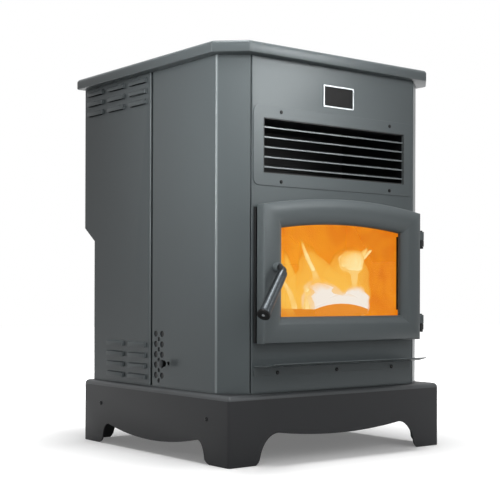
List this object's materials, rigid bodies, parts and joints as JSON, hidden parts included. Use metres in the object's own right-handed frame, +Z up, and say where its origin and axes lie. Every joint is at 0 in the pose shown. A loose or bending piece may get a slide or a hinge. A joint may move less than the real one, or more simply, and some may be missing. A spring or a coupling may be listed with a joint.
{
  "type": "pellet stove",
  "caption": "Free-standing pellet stove on a footed skirt: arched fire door with latch handle, warm-air grille, lidded hopper, auger, blowers, burn pot and ash pan.",
  "frame": {"origin": "on the floor under the middle of the stove's overall box", "axes": "+Z up, the fire door faces -Y, +X to the right of someone facing the door"},
  "size_m": [0.716, 0.7942, 1.0183],
  "materials": {
    "charcoal_paint": "satin high-temperature metallic charcoal paint",
    "skirt_paint": "satin dark charcoal paint",
    "door_casting": "painted fine casting",
    "black_steel": "satin black stove paint",
    "bare_steel": "satin steel",
    "galvanised_steel": "galvanised sheet",
    "burn_pot_iron": "heat-scaled cast iron",
    "ceramic_glass": "clear ceramic fire glass",
    "gasket_rope": "braided fibreglass rope",
    "black_plastic": "satin black",
    "badge_metal": "satin aluminium with a black field",
    "button_plastic": "grey",
    "screw_steel": "blackened steel"
  },
  "bodies": {
    "stove_body": {"air_intake_pipe": "galvanised_steel", "ash_lip": "charcoal_paint", "auger_gearmotor": "bare_steel", "auger_tube": "galvanised_steel", "badge_plate": "badge_metal", "control_panel": "black_plastic", "convection_blower_housing": "galvanised_steel", "convection_motor": "black_steel", "door_surround": "black_steel", "exhaust_blower_housing": "bare_steel", "exhaust_motor": "black_steel", "firebox": "black_steel", "firebox_stand": "galvanised_steel", "floor_pan": "charcoal_paint", "flue_outlet": "bare_steel", "front_panel": "charcoal_paint", "heat_exchanger": "black_steel", "hopper": "galvanised_steel", "igniter": "bare_steel", "left_front_side_panel": "charcoal_paint", "left_rear_side_panel": "charcoal_paint", "pedestal_screw_left_front": "screw_steel", "pedestal_screw_left_rear": "screw_steel", "pedestal_screw_right_front": "screw_steel", "pedestal_screw_right_rear": "screw_steel", "pedestal_skirt": "skirt_paint", "power_inlet": "black_plastic", "rear_panel": "charcoal_paint", "right_front_side_panel": "charcoal_paint", "right_rear_side_panel": "charcoal_paint", "top_plate": "charcoal_paint", "vent_cover_plate": "charcoal_paint", "vent_grille": "black_steel", "vent_screw_high_left": "screw_steel", "vent_screw_high_right": "screw_steel", "vent_screw_low_left": "screw_steel", "vent_screw_low_right": "screw_steel", "warm_air_duct": "black_steel"},
    "fire_door": {"door_frame": "door_casting", "door_glass": "ceramic_glass", "door_gasket": "gasket_rope", "glass_retainer_left": "black_steel", "glass_retainer_right": "black_steel", "hinge_pin_lower": "black_steel", "hinge_pin_upper": "black_steel"},
    "door_handle": {"latch_shaft": "black_steel", "handle_grip": "bare_steel", "handle_end_cap": "black_plastic"},
    "hopper_lid": {"hopper_lid": "charcoal_paint", "lid_handle": "black_steel"},
    "ash_pan": {"ash_pan": "galvanised_steel"},
    "burn_pot": {"burn_pot": "burn_pot_iron"},
    "auger": {"auger": "bare_steel"},
    "exhaust_impeller": {"exhaust_impeller": "bare_steel"},
    "convection_wheel": {"convection_wheel": "bare_steel"},
    "damper": {"damper_rod": "bare_steel", "damper_knob": "black_plastic"},
    "power_button": {"power_button": "button_plastic"},
    "heat_up_button": {"heat_up_button": "button_plastic"},
    "heat_down_button": {"heat_down_button": "button_plastic"}
  },
  "joints": [
    {"name": "fire_door_hinge", "type": "hinge", "parent": "stove_body", "child": "fire_door", "pos_m": [0.284, -0.28889, 0.425], "axis": [0, 0, 1], "range_deg": [0, 115]},
    {"name": "door_handle_turn", "type": "hinge", "parent": "fire_door", "child": "door_handle", "pos_m": [-0.228, -0.30189, 0.462], "axis": [0, 1, 0], "range_deg": [0, 90]},
    {"name": "hopper_lid_hinge", "type": "hinge", "parent": "stove_body", "child": "hopper_lid", "pos_m": [0, 0.38111, 0.9935], "axis": [-1, 0, 0], "range_deg": [0, 95]},
    {"name": "ash_pan_slide", "type": "slide", "parent": "stove_body", "child": "ash_pan", "axis": [0, -1, 0], "range_m": [0, 0.05]},
    {"name": "burn_pot_lift", "type": "slide", "parent": "stove_body", "child": "burn_pot", "axis": [0, 0, 1], "range_m": [0, 0.05]},
    {"name": "auger_spin", "type": "hinge", "parent": "stove_body", "child": "auger", "pos_m": [0, 0.19811, 0.35], "axis": [0, -0.7071, 0.7071], "continuous": true},
    {"name": "exhaust_impeller_spin", "type": "hinge", "parent": "stove_body", "child": "exhaust_impeller", "pos_m": [-0.1425, 0.15811, 0.345], "axis": [1, 0, 0], "continuous": true},
    {"name": "convection_wheel_spin", "type": "hinge", "parent": "stove_body", "child": "convection_wheel", "pos_m": [0.145, 0.18811, 0.29], "axis": [1, 0, 0], "continuous": true},
    {"name": "damper_slide", "type": "slide", "parent": "stove_body", "child": "damper", "axis": [-1, 0, 0], "range_m": [0, 0.04]},
    {"name": "power_button_press", "type": "slide", "parent": "stove_body", "child": "power_button", "axis": [-1, 0, 0], "range_m": [0, 0.002], "stiffness_N_per_m": 300},
    {"name": "heat_up_button_press", "type": "slide", "parent": "stove_body", "child": "heat_up_button", "axis": [-1, 0, 0], "range_m": [0, 0.002], "stiffness_N_per_m": 300},
    {"name": "heat_down_button_press", "type": "slide", "parent": "stove_body", "child": "heat_down_button", "axis": [-1, 0, 0], "range_m": [0, 0.002], "stiffness_N_per_m": 300}
  ]
}
